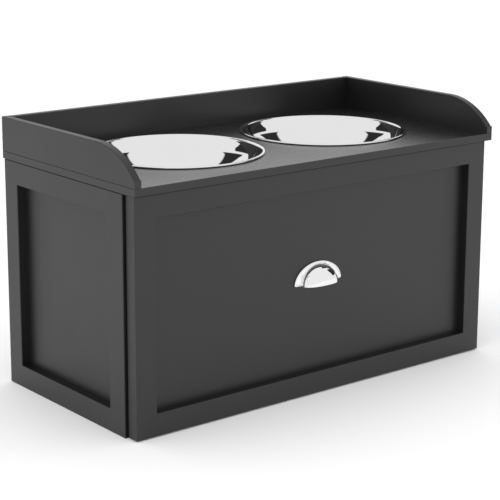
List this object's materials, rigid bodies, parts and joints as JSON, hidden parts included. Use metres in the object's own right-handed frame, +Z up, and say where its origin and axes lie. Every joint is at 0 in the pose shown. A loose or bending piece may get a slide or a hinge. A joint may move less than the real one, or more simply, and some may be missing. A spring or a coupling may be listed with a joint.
{
  "type": "elevated dog feeder with storage drawer",
  "caption": "Raised feeding cabinet with lift-out steel bowls in a galleried top and a full-front storage drawer on roller runners, opened by a chrome cup pull.",
  "frame": {"origin": "on the floor, under the middle of the top board", "axes": "+X to the right along the width, +Y to the back, -Y is the drawer front, +Z up"},
  "size_m": [0.6, 0.3, 0.36],
  "materials": {
    "top_paint": "satin charcoal lacquer on fibreboard",
    "body_paint": "satin charcoal lacquer on fibreboard",
    "front_paint": "satin charcoal lacquer on fibreboard",
    "drawer_board": "matt charcoal laminate on particle board",
    "thin_board": "matt charcoal laminate on thin fibreboard",
    "bowl_steel": "mirror polished stainless steel",
    "pull_chrome": "bright chrome on cast zinc",
    "runner_steel": "cream powder coat",
    "nylon": "natural nylon",
    "screw_steel": "zinc plated",
    "fitting_zinc": "cast zinc",
    "bracket_steel": "black zinc plated",
    "dowel_beech": "plain beech"
  },
  "bodies": {
    "cabinet": {"top_board": "top_paint", "gallery_back": "top_paint", "gallery_left": "top_paint", "gallery_right": "top_paint", "left_front_stile": "body_paint", "left_rear_stile": "body_paint", "left_top_rail": "body_paint", "left_bottom_rail": "body_paint", "left_panel": "body_paint", "right_front_stile": "body_paint", "right_rear_stile": "body_paint", "right_top_rail": "body_paint", "right_bottom_rail": "body_paint", "right_panel": "body_paint", "back_panel": "thin_board", "front_upper_stretcher": "body_paint", "front_lower_stretcher": "body_paint", "rear_stretcher": "body_paint", "cam_locks": "fitting_zinc", "cam_bolts": "fitting_zinc", "dowels": "dowel_beech", "corner_brackets": "bracket_steel", "bracket_screws": "screw_steel", "gallery_screws": "screw_steel", "left_cabinet_slide": "runner_steel", "right_cabinet_slide": "runner_steel", "cabinet_slide_screws": "screw_steel"},
    "drawer": {"front_left_stile": "front_paint", "front_right_stile": "front_paint", "front_top_rail": "front_paint", "front_bottom_rail": "front_paint", "front_panel": "front_paint", "drawer_inner_front": "drawer_board", "drawer_left_side": "drawer_board", "drawer_right_side": "drawer_board", "drawer_back": "drawer_board", "drawer_bottom": "thin_board", "left_drawer_slide": "runner_steel", "right_drawer_slide": "runner_steel", "drawer_slide_screws": "screw_steel", "front_screws": "screw_steel", "drawer_box_screws": "screw_steel", "cup_pull": "pull_chrome", "pull_screws": "screw_steel"},
    "left_front_roller": {"left_front_roller": "nylon"},
    "right_front_roller": {"right_front_roller": "nylon"},
    "left_rear_roller": {"left_rear_roller": "nylon"},
    "right_rear_roller": {"right_rear_roller": "nylon"},
    "left_bowl": {"left_bowl": "bowl_steel"},
    "right_bowl": {"right_bowl": "bowl_steel"}
  },
  "joints": [
    {"name": "drawer_slide", "type": "slide", "parent": "cabinet", "child": "drawer", "axis": [0, -1, 0], "range_m": [0, 0.19]},
    {"name": "left_front_roller_turn", "type": "hinge", "parent": "cabinet", "child": "left_front_roller", "pos_m": [-0.27505, -0.109, 0.0443], "axis": [1, 0, 0], "range_deg": [0, 990]},
    {"name": "left_rear_roller_turn", "type": "hinge", "parent": "drawer", "child": "left_rear_roller", "pos_m": [-0.2735, 0.112, 0.0443], "axis": [1, 0, 0], "range_deg": [0, 990]},
    {"name": "right_front_roller_turn", "type": "hinge", "parent": "cabinet", "child": "right_front_roller", "pos_m": [0.27505, -0.109, 0.0443], "axis": [1, 0, 0], "range_deg": [0, 990]},
    {"name": "right_rear_roller_turn", "type": "hinge", "parent": "drawer", "child": "right_rear_roller", "pos_m": [0.2735, 0.112, 0.0443], "axis": [1, 0, 0], "range_deg": [0, 990]},
    {"name": "left_bowl_lift", "type": "slide", "parent": "cabinet", "child": "left_bowl", "axis": [0, 0, 1], "range_m": [0, 0.12]},
    {"name": "right_bowl_lift", "type": "slide", "parent": "cabinet", "child": "right_bowl", "axis": [0, 0, 1], "range_m": [0, 0.12]}
  ],
  "couplings": [
    {"joint": "left_front_roller_turn", "follows": "drawer_slide", "rad_per_m": 90.909},
    {"joint": "left_rear_roller_turn", "follows": "drawer_slide", "rad_per_m": 90.909},
    {"joint": "right_front_roller_turn", "follows": "drawer_slide", "rad_per_m": 90.909},
    {"joint": "right_rear_roller_turn", "follows": "drawer_slide", "rad_per_m": 90.909}
  ]
}
